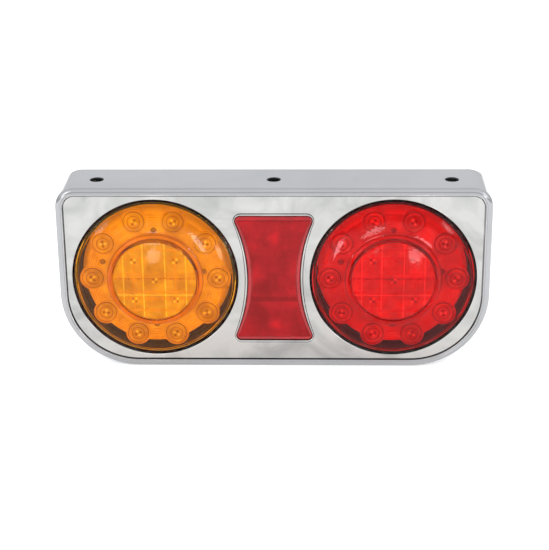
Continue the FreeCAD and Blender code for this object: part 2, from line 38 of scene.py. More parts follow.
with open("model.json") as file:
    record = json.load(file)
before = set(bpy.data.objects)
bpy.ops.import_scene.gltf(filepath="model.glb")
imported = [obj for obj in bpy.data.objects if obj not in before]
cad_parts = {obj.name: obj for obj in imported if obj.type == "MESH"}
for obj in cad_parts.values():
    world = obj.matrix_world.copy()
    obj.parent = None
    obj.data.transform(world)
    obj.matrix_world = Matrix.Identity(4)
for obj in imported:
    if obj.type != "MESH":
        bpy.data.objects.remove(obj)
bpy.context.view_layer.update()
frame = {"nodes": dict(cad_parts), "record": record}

MM = 0.001
ROOT = "root"
ROUND_STEPS = 5

shell_low, shell_high = [Vector(corner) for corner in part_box("housing_shell")]
BACK_Y = shell_high.y
WIDTH = (shell_high.x - shell_low.x) / MM
HEIGHT = (shell_high.z - shell_low.z) / MM
CREST = (shell_high.y - shell_low.y) / MM
FACE = Vector(((shell_low.x + shell_high.x) / 2, BACK_Y, (shell_low.z + shell_high.z) / 2))

# housing and face, all in millimetres like every size below
TOP_CORNER = 17.5
BOTTOM_CORNER = 67.4
WALL = 3.0
RIM = 6.6
RIM_LIP = 0.9
LEDGE = 9.0
EDGE_ROUND = 4.3
PLATE_FRONT = CREST - 1.8
PLATE_BACK = PLATE_FRONT - 2.5
PLATE_EDGE = 0.8
PLATE_GAP = 0.3
LENS_GAP = 0.35
WAIST_GAP = 2.35
BEAD_INSET = -1.42
BEAD_HALF = 0.95
BEAD_RISE = 0.9
HOLE_PITCH = 152.0
HOLE_RADIUS = 5.5

# reflector
REFLECTOR_HALF = 35.2
WAIST_HALF = 22.4
REFLECTOR_TALL = 114.3 / 2
REFLECTOR_CORNER = 4.0
REFLECTOR_BACK = 46.5
REFLECTOR_FRONT = 53.2
REFLECTOR_BEVEL = 3.8
POST_FRONT = 53.0
POST_HEIGHTS = (37.0, -43.0)
POST_REACH = 9.0
# height of a dark strip painted across the reflector: a painted reflection
PAINTED_REFLECTION_HEIGHT = -18.5

# lamps
LENS_RADIUS = 71.25
FLANGE_TOP = 38.0
# tones of the two optics: a piece's material numbers count through them
EYE_TONES = ("", "_deep", "_bright", "_peg", "_edge", "_ring", "_middle")
PLAIN, DEEP, BRIGHT, PEG, EDGE, RING, MIDDLE = range(7)
CENTRE_TONES = ("_middle", "_deep", "_bright", "", "_ring")
CENTRE_RING = 4
EYES = 10
EYE_CIRCLE = 54.2
LOBE = 10.5
LOBE_BLEND = 0.6
OPTIC_RADIUS = 58.5
OPTIC_FRONT = 50.6
OPTIC_EDGE = 0.8
OPTIC_FOOT = 30.5
OPTIC_WALL = 2.2
OPTIC_HOLE = 36.4
COLLAR_TOP = 54.9
FOOT_RADIUS = 65.0
PEGS = ((0.0, 44.0), (-45.0, 15.0), (42.0, 6.0), (0.0, -43.0))
# two thin rings at the edges of the lens seat paint lines of light: a pale highlight and an orange line
PAINTED_EDGE_LINES = ((68.75, 50.1, BRIGHT), (66.9, 50.4, PLAIN))
PILLOW_RADIUS = 35.8
PILLOW_PITCH = 18.0
PILLOW_VALLEY = 55.4
PILLOW_CROWN = 0.9
PILLOW_BACK = 40.0
# ribs across the middle optic: distance from its axis, width and tone
MIDDLE_ROWS = (
    (28.0, 2.2, CENTRE_RING),
    (20.5, 1.8, CENTRE_RING),
    (6.0, 1.8, CENTRE_RING),
    (2.0, 4.2, CENTRE_RING),
    (1.5, 1.8, DEEP),
    (-11.0, 2.6, CENTRE_RING),
    (-13.6, 1.0, BRIGHT),
    # the deep tone on the two ribs near -16.5 paints the dark line of a reflection that crosses both lamps
    # and the reflector
    (-16.8, 3.6, CENTRE_RING),
    (-16.4, 1.4, DEEP),
    (-28.0, 2.4, CENTRE_RING),
)
MIDDLE_COLUMNS = (
    (-27.0, 1.2, BRIGHT),
    (-18.0, 1.6, CENTRE_RING),
    (-10.0, 1.3, BRIGHT),
    (9.0, 1.3, BRIGHT),
    (18.0, 1.6, CENTRE_RING),
    (27.0, 1.3, BRIGHT),
)

# back
COVER_THICK = 2.5
COVER_BORDER = 17.0
COVER_RIBS = 5
RIB_PITCH = 15.0
TOP_RIB = 44.0
RIB_HALF = 150.0
HEAD_RADIUS = 3.6
HEAD_RISE = 2.2


def lamp_origin(colour):
    """The point on a lamp's axis level with the housing's back edge."""
    low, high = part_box(f"{colour}_lens")
    return Vector(((low[0] + high[0]) / 2, BACK_Y, (low[2] + high[2]) / 2))


# ------------------------------------------------------------------------------------------------ shapes


class Shape:
    """Points and faces of one piece, face-on and in millimetres, with a material number on each face."""

    def __init__(self):
        self.points = []
        self.faces = []
        self.numbers = []

    def add(self, points, faces, number=0):
        start = len(self.points)
        self.points += [tuple(point) for point in points]
        self.faces += [tuple(index + start for index in face) for face in faces]
        self.numbers += [number] * len(faces)
        return self

    def skin(self, rows, closed=False, number=0):
        """Joins rings of points with quads; closed also joins the last ring to the first."""
        count = len(rows[0])
        points = [point for row in rows for point in row]
        pairs = list(zip(range(len(rows)), range(1, len(rows))))
        if closed:
            pairs.append((len(rows) - 1, 0))
        faces = []
        for low, high in pairs:
            for step in range(count):
                after = (step + 1) % count
                faces.append(
                    (low * count + step, low * count + after, high * count + after, high * count + step)
                )
        return self.add(points, faces, number)

    def fill(self, rings, height, number=0):
        """A flat face at one height, inside the first ring and outside the others."""
        lines = [[Vector((x, y, 0)) for x, y in ring] for ring in rings]
        points = [(x, y, height) for ring in rings for x, y in ring]
        return self.add(points, [tuple(face) for face in tessellate_polygon(lines)], number)

    def lathe(self, profile, x=0.0, y=0.0, steps=96, number=0):
        """A closed profile of radius and height, turned about an axis at x, y."""
        turns = [math.tau * step / steps for step in range(steps)]
        rows = [[(x + r * math.cos(t), y + r * math.sin(t), z) for t in turns] for r, z in profile]
        return self.skin(rows, True, number)

    def sweep(self, outline, profile, number=0):
        """A closed profile of inset and height, carried round an outline."""
        rows = [[(x, y, z) for x, y in outline(inset)] for inset, z in profile]
        return self.skin(rows, True, number)

    def plate(self, outlines, low, high, edge, number=0):
        """A flat plate with rounded edges. The first outline is its outside and the others are holes."""
        for index, outline in enumerate(outlines):
            way = 1 if index == 0 else -1
            rows = []
            for inset, z in rounded_side(low, high, edge):
                rows.append([(x, y, z) for x, y in outline(inset * way)])
            self.skin(rows, False, number)
        rings = [outline(edge * (1 if index == 0 else -1)) for index, outline in enumerate(outlines)]
        self.fill(rings, high, number)
        return self.fill(rings, low, number)


def rounded_side(low, high, edge, steps=ROUND_STEPS):
    """Inset and height down the side of a plate, with a quarter round at each end."""
    turns = [math.pi / 2 * step / steps for step in range(steps + 1)]
    top = [(edge - edge * math.sin(t), high - edge + edge * math.cos(t)) for t in turns]
    bottom = [(edge - edge * math.cos(t), low + edge - edge * math.sin(t)) for t in turns]
    return top + bottom


def bow(start, end, rise, steps=12):
    """Points along an arc from start to end that bulges to the left of the way it runs by rise."""
    (ax, ay), (bx, by) = start, end
    length = math.hypot(bx - ax, by - ay)
    points = []
    for step in range(steps + 1):
        share = step / steps
        lift = 4 * rise * share * (1 - share)
        points.append(
            (
                ax + (bx - ax) * share - (by - ay) / length * lift,
                ay + (by - ay) * share + (bx - ax) / length * lift,
            )
        )
    return points


def housing_outline(inset, steps=20):
    """The housing's outline moved in by inset: small corners above, large ones below."""
    wide, tall = WIDTH / 2 - inset, HEIGHT / 2 - inset
    small, large = TOP_CORNER - inset, BOTTOM_CORNER - inset
    points = []
    corners = ((1, 1, small, 0), (-1, 1, small, 90), (-1, -1, large, 180), (1, -1, large, 270))
    for side, up, radius, first in corners:
        for step in range(steps + 1):
            turn = math.radians(first + 90 * step / steps)
            x = (wide - radius) * side + radius * math.cos(turn)
            y = (tall - radius) * up + radius * math.sin(turn)
            points.append((x, y))
    return points


def waist_outline(inset, steps=10):
    """The reflector's outline moved in by inset: flat ends, hollow sides and rounded corners."""
    end, waist, tall = REFLECTOR_HALF - inset, WAIST_HALF - inset, REFLECTOR_TALL - inset
    corner = REFLECTOR_CORNER - inset
    sag = end - waist
    hollow = (tall * tall + sag * sag) / (sag * 2)
    middle = waist + hollow
    level = tall - corner
    lean = math.degrees(math.asin(level / (hollow + corner)))
    reach = middle - math.sqrt((hollow + corner) ** 2 - level**2)
    stretches = [
        (reach, level, corner, -lean, 90),
        (-reach, level, corner, 90, 180 + lean),
        (-middle, 0, hollow, lean, -lean),
        (-reach, -level, corner, 180 - lean, 270),
        (reach, -level, corner, 270, 360 + lean),
        (middle, 0, hollow, 180 + lean, 180 - lean),
    ]
    points = []
    for x, y, radius, first, last in stretches:
        count = steps if radius == corner else steps * 3
        for step in range(count + 1):
            turn = math.radians(first + (last - first) * step / count)
            points.append((x + radius * math.cos(turn), y + radius * math.sin(turn)))
    return thin(points)


def thin(points):
    """The points without neighbours that lie on each other."""
    kept = []
    for point in points:
        if not kept or math.dist(point, kept[-1]) > 1e-4:
            kept.append(point)
    return kept if math.dist(kept[0], kept[-1]) > 1e-4 else kept[:-1]


def circle_outline(radius, x=0.0, y=0.0, steps=160):
    """Makes an outline function for a circle."""

    def outline(inset):
        turns = [math.tau * step / steps for step in range(steps)]
        return [(x + (radius - inset) * math.cos(t), y + (radius - inset) * math.sin(t)) for t in turns]

    return outline


def scallop_outline(inset, steps=720):
    """The optic's outline: a disc with ten round lobes on its edge, blended where they meet."""
    plain, lobe, blend = OPTIC_RADIUS - inset, LOBE - inset, LOBE_BLEND
    points = []
    for step in range(steps):
        turn = math.tau * step / steps
        off = (turn + math.pi / EYES) % (math.tau / EYES) - math.pi / EYES
        across = EYE_CIRCLE * math.sin(off)
        reach = plain - 4
        if abs(across) < lobe:
            reach = EYE_CIRCLE * math.cos(off) + math.sqrt(lobe**2 - across**2)
        gap = max(blend - abs(plain - reach), 0) / blend
        radius = max(plain, reach) + gap * gap * blend / 4
        points.append((radius * math.cos(turn), radius * math.sin(turn)))
    return points


def make(name, shape, origin, materials, replaces=(), smooth=32):
    """Stands a shape up in the frame as one piece on the root body."""
    mesh = bpy.data.meshes.new(name)
    places = [origin + Vector((x, -z, y)) * MM for x, y, z in shape.points]
    mesh.from_pydata(places, [], shape.faces)
    for material in materials:
        mesh.materials.append(material)
    for face, number in zip(mesh.polygons, shape.numbers):
        face.material_index = number
    tidy = bmesh.new()
    tidy.from_mesh(mesh)
    bmesh.ops.remove_doubles(tidy, verts=tidy.verts, dist=0.004 * MM)
    bmesh.ops.dissolve_degenerate(tidy, edges=tidy.edges, dist=0.002 * MM)
    bmesh.ops.recalc_face_normals(tidy, faces=tidy.faces)
    tidy.to_mesh(mesh)
    tidy.free()
    mesh.shade_smooth()
    mesh.set_sharp_from_angle(angle=math.radians(smooth))
    piece = bpy.data.objects.new(name, mesh)
    bpy.context.collection.objects.link(piece)
    weigh = piece.modifiers.new("flat faces stay flat", "WEIGHTED_NORMAL")
    weigh.keep_sharp = True
    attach(piece, ROOT)
    if replaces:
        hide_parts(*replaces)
    return piece


# --------------------------------------------------------------------------------------------- materials


def paint(code):
    """An sRGB hex colour as linear RGBA."""
    shares = [int(code[index : index + 2], 16) / 255 for index in (1, 3, 5)]
    return tuple(s / 12.92 if s <= 0.04045 else ((s + 0.055) / 1.055) ** 2.4 for s in shares) + (1.0,)


def add(tree, kind, inputs=None, stops=(), **settings):
    """Adds a node. inputs takes a value or another node's output for each socket."""
    node = tree.nodes.new(kind)
    for name, value in settings.items():
        setattr(node, name, value)
    for name, value in (inputs or {}).items():
        if isinstance(value, bpy.types.NodeSocket):
            tree.links.new(value, node.inputs[name])
        else:
            node.inputs[name].default_value = value
    for index, (place, colour) in enumerate(stops):
        ramp = node.color_ramp.elements
        stop = ramp[index] if index < 2 else ramp.new(place)
        stop.position, stop.color = place, colour
    return node


def start_material(name):
    """A new material with its Principled shader and the piece's own coordinates."""
    material = bpy.data.materials.new(name)
    material.use_nodes = True
    tree = material.node_tree
    place = add(tree, "ShaderNodeTexCoord").outputs["Object"]
    return material, tree, tree.nodes["Principled BSDF"], place


def per_mm(size):
    """A noise scale whose features are about size millimetres across."""
    return 1 / (size * MM)


def moulded(name, dark, light, roughness, grain_mm, depth_mm):
    """Injection moulded plastic or moulded rubber, with the fine grain of its mould.

    Its gloss and its colour drift a little in soft patches, so a broad side doesn't look flat.
    """
    material, tree, shader, place = start_material(name)
    patches = add(tree, "ShaderNodeTexNoise", {"Vector": place, "Scale": per_mm(18.0), "Detail": 3.0})
    tint = add(
        tree,
        "ShaderNodeValToRGB",
        {"Fac": patches.outputs["Fac"]},
        stops=[(0.35, paint(dark)), (0.65, paint(light))],
    )
    grain = add(tree, "ShaderNodeTexNoise", {"Vector": place, "Scale": per_mm(grain_mm), "Detail": 2.0})
    bump = add(
        tree,
        "ShaderNodeBump",
        {"Height": grain.outputs["Fac"], "Distance": depth_mm * MM, "Strength": 0.5},
    )
    rough = add(
        tree,
        "ShaderNodeMapRange",
        {"Value": patches.outputs["Fac"], "To Min": roughness * 0.85, "To Max": roughness * 1.15},
    )
    tree.links.new(tint.outputs["Color"], shader.inputs["Base Color"])
    tree.links.new(rough.outputs["Result"], shader.inputs["Roughness"])
    tree.links.new(bump.outputs["Normal"], shader.inputs["Normal"])
    return material


def chrome_plate(name, bright, dull, roughness, painted_mottle_mm, wave_mm, wave_depth_mm):
    """Chrome plate over moulded ABS.

    The plating is a near mirror, so the eye sees the room in it, bent by the slow waves of the moulding
    under it. Its colour drifts to a duller chrome in soft patches: painted mottling of its reflections.
    """
    material, tree, shader, place = start_material(name)
    shader.inputs["Metallic"].default_value = 1.0
    # painted reflection: soft patches of duller colour stand in for mottled reflections
    painted_mottle = add(
        tree,
        "ShaderNodeTexNoise",
        {"Vector": place, "Scale": per_mm(painted_mottle_mm), "Detail": 3.0, "Roughness": 0.55, "Distortion": 0.8},
    )
    tint = add(
        tree,
        "ShaderNodeValToRGB",
        {"Fac": painted_mottle.outputs["Fac"]},
        stops=[(0.32, paint(dull)), (0.6, paint(bright))],
    )
    waves = add(tree, "ShaderNodeTexNoise", {"Vector": place, "Scale": per_mm(wave_mm), "Detail": 1.5})
    bump = add(
        tree,
        "ShaderNodeBump",
        {"Height": waves.outputs["Fac"], "Distance": wave_depth_mm * MM, "Strength": 1.0},
    )
    rough = add(
        tree,
        "ShaderNodeMapRange",
        {
            "Value": painted_mottle.outputs["Fac"],
            "From Min": 0.3,
            "From Max": 0.7,
            "To Min": roughness * 1.5,
            "To Max": roughness * 0.7,
        },
    )
    tree.links.new(tint.outputs["Color"], shader.inputs["Base Color"])
    tree.links.new(rough.outputs["Result"], shader.inputs["Roughness"])
    tree.links.new(bump.outputs["Normal"], shader.inputs["Normal"])
    return material


def tinted_lens(name, tint, density):
    """Injection moulded polycarbonate with dye all through it.

    It looks deeper where the eye passes through more of it. The faint flow of the moulding clouds it a
    little, and its slow ripple bends the lights that it mirrors.
    """
    material, tree, shader, place = start_material(name)
    shader.inputs["Roughness"].default_value = 0.08
    shader.inputs["IOR"].default_value = 1.27
    shader.inputs["Transmission Weight"].default_value = 1.0
    flow = add(
        tree,
        "ShaderNodeTexNoise",
        {"Vector": place, "Scale": per_mm(16.0), "Detail": 2.0, "Distortion": 0.6},
    )
    clear = add(
        tree,
        "ShaderNodeValToRGB",
        {"Fac": flow.outputs["Fac"]},
        stops=[(0.35, paint("#f0efee")), (0.6, paint("#ffffff"))],
    )
    tree.links.new(clear.outputs["Color"], shader.inputs["Base Color"])
    ripple = add(tree, "ShaderNodeTexNoise", {"Vector": place, "Scale": per_mm(26.0), "Detail": 1.0})
    bump = add(
        tree,
        "ShaderNodeBump",
        {"Height": ripple.outputs["Fac"], "Distance": 0.15 * MM, "Strength": 0.6},
    )
    tree.links.new(bump.outputs["Normal"], shader.inputs["Normal"])
    dye = add(tree, "ShaderNodeVolumeAbsorption", {"Color": paint(tint), "Density": density})
    tree.links.new(dye.outputs["Volume"], tree.nodes["Material Output"].inputs["Volume"])
    return material


def optic_plastic(name, deep, bright, painted_glow=""):
    """Injection moulded acrylic of the optics: glossy and full in colour, with faint clouds.

    Where asked, it also emits a little light of its own colour: painted light in a wall that lies in shade.
    """
    material, tree, shader, place = start_material(name)
    clouds = add(tree, "ShaderNodeTexNoise", {"Vector": place, "Scale": per_mm(13.0), "Detail": 4.0})
    tint = add(
        tree,
        "ShaderNodeValToRGB",
        {"Fac": clouds.outputs["Fac"]},
        stops=[(0.36, paint(deep)), (0.64, paint(bright))],
    )
    tree.links.new(tint.outputs["Color"], shader.inputs["Base Color"])
    shader.inputs["Roughness"].default_value = 0.12
    shader.inputs["IOR"].default_value = 1.49
    # painted light: emission that lifts a shaded wall
    if painted_glow:
        shader.inputs["Emission Color"].default_value = paint(painted_glow)
        shader.inputs["Emission Strength"].default_value = 0.45
    return material


def reflector_plastic(name, deep, bright):
    """Red acrylic over cube-corner prisms: a gloss face, and below it cells that catch the light unevenly.

    The two round posts behind it show through as lighter spots, and a dark strip at one height is a painted
    reflection.
    """
    material, tree, shader, place = start_material(name)
    clouds = add(tree, "ShaderNodeTexNoise", {"Vector": place, "Scale": per_mm(24.0), "Detail": 4.0})
    level = clouds.outputs["Fac"]
    for height in POST_HEIGHTS:
        middle = FACE + Vector((0, -POST_FRONT, height)) * MM
        far = add(tree, "ShaderNodeVectorMath", {0: place, 1: tuple(middle)}, operation="DISTANCE")
        spot = add(
            tree,
            "ShaderNodeMapRange",
            {"Value": far.outputs["Value"], "From Max": POST_REACH * MM, "To Min": 0.18, "To Max": 0.0},
            interpolation_type="SMOOTHSTEP",
        )
        lighter = add(tree, "ShaderNodeMath", {0: level, 1: spot.outputs["Result"]}, operation="ADD")
        level = lighter.outputs[0]
    # painted reflection: a soft dark strip across the face at one height
    tall = add(tree, "ShaderNodeSeparateXYZ", {"Vector": place}).outputs["Z"]
    off = add(tree, "ShaderNodeMath", {0: tall, 1: FACE.z + PAINTED_REFLECTION_HEIGHT * MM}, operation="SUBTRACT")
    near = add(tree, "ShaderNodeMath", {0: off.outputs[0]}, operation="ABSOLUTE")
    painted_reflection_strip = add(
        tree,
        "ShaderNodeMapRange",
        {
            "Value": near.outputs[0],
            "From Min": 0.8 * MM,
            "From Max": 3.4 * MM,
            "To Min": 0.2,
            "To Max": 0.0,
        },
        interpolation_type="SMOOTHSTEP",
    )
    with_painted_reflection = add(tree, "ShaderNodeMath", {0: level, 1: painted_reflection_strip.outputs["Result"]}, operation="SUBTRACT")
    level = with_painted_reflection.outputs[0]
    tint = add(
        tree,
        "ShaderNodeValToRGB",
        {"Fac": level},
        stops=[
            (0.2, paint("#700204")),
            (0.42, paint(deep)),
            (0.58, paint(bright)),
            (0.95, paint("#d00c16")),
        ],
    )
    prism = {"Vector": place, "Scale": per_mm(2.4), "Randomness": 0.15}
    cells = add(tree, "ShaderNodeTexVoronoi", prism)
    bump = add(
        tree,
        "ShaderNodeBump",
        {"Height": cells.outputs["Distance"], "Distance": 0.2 * MM, "Strength": 0.35},
    )
    tree.links.new(tint.outputs["Color"], shader.inputs["Base Color"])
    tree.links.new(bump.outputs["Normal"], shader.inputs["Normal"])
    shader.inputs["Roughness"].default_value = 0.4
    shader.inputs["IOR"].default_value = 1.49
    shader.inputs["Specular IOR Level"].default_value = 0.08
    shader.inputs["Coat Weight"].default_value = 0.2
    shader.inputs["Coat Roughness"].default_value = 0.03
    shader.inputs["Coat IOR"].default_value = 1.49
    return material


def zinc_plate():
    """Zinc plated steel: pale bluish grey, slightly cloudy, with a soft shine."""
    material, tree, shader, place = start_material("zinc plated steel")
    clouds = add(tree, "ShaderNodeTexNoise", {"Vector": place, "Scale": per_mm(3.0), "Detail": 4.0})
    tint = add(
        tree,
        "ShaderNodeValToRGB",
        {"Fac": clouds.outputs["Fac"]},
        stops=[(0.3, paint("#9fa3a4")), (0.7, paint("#c6c9c8"))],
    )
    tree.links.new(tint.outputs["Color"], shader.inputs["Base Color"])
    shader.inputs["Metallic"].default_value = 1.0
    shader.inputs["Roughness"].default_value = 0.34
    return material


MATERIALS = {
    "chromed_housing": chrome_plate(
        "satin chrome on housing", "#9f9fa1", "#999a9b", 0.12, 90.0, 60.0, 0.15
    ),
    "chromed_face": chrome_plate(
        "bright chrome on face", "#afafac", "#949593", 0.05, 42.0, 34.0, 0.10
    ),
    "amber_lens": tinted_lens("amber polycarbonate", "#fdf300", 1500.0),
    "red_lens": tinted_lens("red polycarbonate", "#fa1c00", 1500.0),
    "amber_optic": optic_plastic("amber acrylic", "#de9e10", "#f0b424"),
    "amber_optic_middle": optic_plastic("amber acrylic of the middle", "#c08410", "#e0a826"),
    "amber_optic_deep": optic_plastic("deep amber acrylic", "#9c5a07", "#a6620b"),
    "amber_optic_bright": optic_plastic("pale amber acrylic", "#f8cc48", "#fcd458"),
    "amber_optic_peg": optic_plastic("brown amber acrylic", "#946014", "#a06c1a"),
    "amber_optic_ring": optic_plastic("full amber acrylic", "#d48c08", "#e49a10"),
    # the optic's wall: a lighter colour and emission, painted light in a wall that lies in shade
    "amber_optic_edge": optic_plastic("edge of amber acrylic", "#f4b428", "#f8bc38", painted_glow="#ff9c10"),
    "red_optic": optic_plastic("red acrylic", "#cc1c10", "#e22e1c"),
    "red_optic_middle": optic_plastic("red acrylic of the middle", "#c42416", "#e23e2a"),
    "red_optic_deep": optic_plastic("deep red acrylic", "#740603", "#7e0805"),
    "red_optic_bright": optic_plastic("pale red acrylic", "#fa5848", "#fc6450"),
    "red_optic_peg": optic_plastic("brown red acrylic", "#8c1008", "#98140c"),
    "red_optic_ring": optic_plastic("full red acrylic", "#d20e06", "#de120a"),
    # the same painted light in the red optic's shaded wall
    "red_optic_edge": optic_plastic("edge of red acrylic", "#e42c1c", "#e83424", painted_glow="#ff1c0c"),
    "red_reflector": reflector_plastic("red prism acrylic", "#7e060a", "#940a11"),
    "red_reflector_edge": optic_plastic("clear edge of red acrylic", "#8e0810", "#a00c16"),
    "black_base": moulded("black ABS", "#0d0d0e", "#151516", 0.35, 0.5, 0.01),
    "black_cover": moulded("grained black ABS", "#161617", "#202022", 0.55, 0.9, 0.05),
    "black_nylon": moulded("black nylon", "#121214", "#1b1b1e", 0.42, 0.7, 0.02),
    "black_rubber": moulded("EPDM rubber", "#101010", "#191918", 0.7, 0.6, 0.03),
    "white_tray": moulded("white ABS", "#d9d9d4", "#e6e6e2", 0.4, 0.7, 0.01),
    "circuit_board": moulded("white solder mask", "#d6dad2", "#e4e8e0", 0.35, 1.2, 0.01),
    "led": moulded("LED package", "#d8cf78", "#efe6a0", 0.25, 0.5, 0.01),
    "resistor": moulded("resistor body", "#141416", "#202024", 0.4, 0.5, 0.01),
    "potting": moulded("cast epoxy", "#121214", "#1c1c20", 0.15, 6.0, 0.05),
    "lead_jacket": moulded("PVC lead", "#151515", "#1f1f1f", 0.45, 0.8, 0.01),
    "grey_block": moulded("grey polyamide", "#8a8d90", "#989b9e", 0.45, 0.8, 0.02),
    "zinc_steel": zinc_plate(),
}
MATERIALS["zinc_screw"] = MATERIALS["zinc_steel"]


def finish_cad_nodes():
    """Gives every carried-over CAD node its own slot's material."""
    for row in frame["record"]["subparts"]:
        mesh = frame["nodes"][row["node"]].data
        mesh.materials.clear()
        mesh.materials.append(MATERIALS[row["material_slot"]])


# ------------------------------------------------------------------------------------- housing and face


def housing_section():
    """Inset and height round the wall: outside, front round, groove, lip, ledge and inside."""
    turns = [math.pi / 2 * step / 8 for step in range(9)]
    radius = EDGE_ROUND
    front = [(radius - radius * math.cos(t), CREST - radius + radius * math.sin(t)) for t in turns]
    groove = [(4.5, CREST), (4.75, CREST - 0.2), (5.0, CREST - 0.2), (5.25, CREST)]
    lip = RIM_LIP
    inner = [(RIM - lip + lip * math.sin(t), CREST - lip + lip * math.cos(t)) for t in turns]
    return (
        [(0.0, 0.6), (0.0, CREST / 2)]
        + front
        + groove
        + inner
        + [(RIM, PLATE_BACK), (LEDGE, PLATE_BACK), (LEDGE, PLATE_BACK - WALL), (WALL, PLATE_BACK - WALL)]
        + [(WALL, 0.4), (WALL - 0.4, 0.0), (0.6, 0.0)]
    )


def bolt_cutters():
    """Three round cutters with flared tops for the bolt holes."""
    cutter = bpy.data.meshes.new("bolt cutters")
    rows = [
        (HOLE_RADIUS + 0.9, 1.0),
        (HOLE_RADIUS + 0.7, 0.0),
        (HOLE_RADIUS, -0.7),
        (HOLE_RADIUS, -WALL - 2),
    ]
    points, faces = [], []
    steps = 48
    for hole in (-1, 0, 1):
        start = len(points)
        for radius, z in rows:
            for step in range(steps):
                turn = math.tau * step / steps
                points.append((hole * HOLE_PITCH + radius * math.cos(turn), radius * math.sin(turn), z))
        for row in range(len(rows) - 1):
            for step in range(steps):
                after = (step + 1) % steps
                low, high = start + row * steps, start + (row + 1) * steps
                faces.append((low + step, high + step, high + after, low + after))
        faces.append(tuple(start + step for step in range(steps)))
        faces.append(tuple(start + (len(rows) - 1) * steps + step for step in reversed(range(steps))))
    cutter.from_pydata([Vector(point) * MM for point in points], [], faces)
    return bpy.data.objects.new("bolt cutters", cutter)


def housing():
    """The chromed housing, with black bores where the bolts go through the top."""
    shape = Shape().sweep(housing_outline, housing_section())
    piece = make(
        "housing",
        shape,
        FACE,
        [MATERIALS["chromed_housing"]],
        ["housing_shell"],
    )
    cutters = bolt_cutters()
    cutters.data.materials.append(MATERIALS["black_base"])
    bpy.context.collection.objects.link(cutters)
    cut = piece.modifiers.new("bolt holes", "BOOLEAN")
    cut.operation = "DIFFERENCE"
    cut.object = cutters
    cut.solver = "EXACT"
    cut.material_mode = "TRANSFER"
    piece.modifiers.move(1, 0)
    apply_modifier(piece, cut)
    bpy.data.objects.remove(cutters)


def apply_modifier(piece, modifier):
    """Turns a modifier's result into the piece's own mesh."""
    with bpy.context.temp_override(object=piece, active_object=piece, selected_objects=[piece]):
        bpy.ops.object.modifier_apply(modifier=modifier.name)


def lamp_place(colour):
    """A lamp's x and y on the housing's face."""
    origin = lamp_origin(colour) - FACE
    return origin.x / MM, origin.z / MM


def face():
    """The bright face with its two round openings, the waisted one and the fine bead round that."""
    outlines = [lambda inset: housing_outline(RIM + PLATE_GAP + inset)]
    outlines += [circle_outline(LENS_RADIUS + LENS_GAP, *lamp_place(colour)) for colour in ("amber", "red")]
    outlines.append(lambda inset: waist_outline(inset - WAIST_GAP))
    shape = Shape().plate(outlines, PLATE_BACK, PLATE_FRONT, PLATE_EDGE)
    crown = [(math.cos(math.pi * step / 8), math.sin(math.pi * step / 8)) for step in range(9)]
    bead = [(BEAD_INSET - BEAD_HALF * x, PLATE_FRONT - 0.1 + BEAD_RISE * z) for x, z in crown]
    bead += [(BEAD_INSET + BEAD_HALF, PLATE_FRONT - 1.6), (BEAD_INSET - BEAD_HALF, PLATE_FRONT - 1.6)]
    shape.sweep(waist_outline, bead)
    foot = [(-0.4, PLATE_BACK + 0.7), (-0.4, PLATE_BACK), (-3.4, PLATE_BACK), (-3.4, PLATE_BACK + 0.7)]
    shape.sweep(waist_outline, foot, 1)
    make(
        "face",
        shape,
        FACE,
        [MATERIALS["chromed_face"], MATERIALS["black_base"]],
        ["face_plate"],
    )


# ------------------------------------------------------------------------------------------------ lamps


def lens_section():
    """Radius and height round the lens: skirt, stepped edge, domed slope, raised ring and thin disc."""
    outside = [(LENS_RADIUS, 39.2), (LENS_RADIUS, 51.2), (71.0, 51.7), (70.6, 51.9), (69.5, 52.1)]
    outside += [(69.3, 52.5), (68.9, 52.8), (67.4, 53.1), (67.1, 53.5), (66.7, 53.8)]
    outside += bow((66.4, 53.9), (42.4, 57.7), -1.1, 16)
    outside += bow((41.6, 58.0), (38.0, 61.0), 0.4, 6)
    outside += [(37.5, 61.3), (37.0, 61.35), (36.5, 61.1), (36.2, 60.7), (36.1, 59.9)]
    outside += bow((35.6, 59.75), (0.0, 60.4), -0.35, 14)
    inside = bow((0.0, 58.4), (35.8, 57.9), 0.2, 8)
    inside += [(36.6, 57.5), (37.4, 56.4), (38.2, 56.0), (40.6, 55.7)]
    inside += bow((41.6, 55.4), (65.6, 51.4), 1.0, 12)
    inside += [(66.2, 50.9), (69.05, 50.3), (69.05, 39.2)]
    return outside + inside


def eye_section():
    """Radius and height of one eye: a rounded rim, a groove, two shallow steps and a domed middle."""
    return [
        (9.0, 49.6),
        (9.0, 50.9),
        (8.8, 51.35),
        (8.2, 51.6),
        (7.6, 51.3),
        (7.3, 51.3),
        (6.9, 51.7),
        (5.2, 52.0),
        (4.9, 51.7),
        (4.6, 51.7),
        (4.2, 52.0),
        (2.4, 52.3),
        (0.0, 52.4),
        (0.0, 49.6),
    ]


def bar(shape, turn, reach, half, width, low, high, number):
    """A low rounded rib square to the radius at angle turn, at a distance of reach."""
    out = Vector((math.cos(turn), math.sin(turn), 0))
    along = Vector((-math.sin(turn), math.cos(turn), 0))
    top = Vector((0, 0, high))
    foot = Vector((0, 0, low))
    section = [(-width / 2, foot), (-width / 4, top), (width / 4, top), (width / 2, foot)]
    points = []
    for side in (-1, 1):
        points += [out * (reach + off) + height + along * half * side for off, height in section]
    faces = [(0, 1, 5, 4), (1, 2, 6, 5), (2, 3, 7, 6), (3, 0, 4, 7), (0, 3, 2, 1), (4, 5, 6, 7)]
    shape.add(points, faces, number)


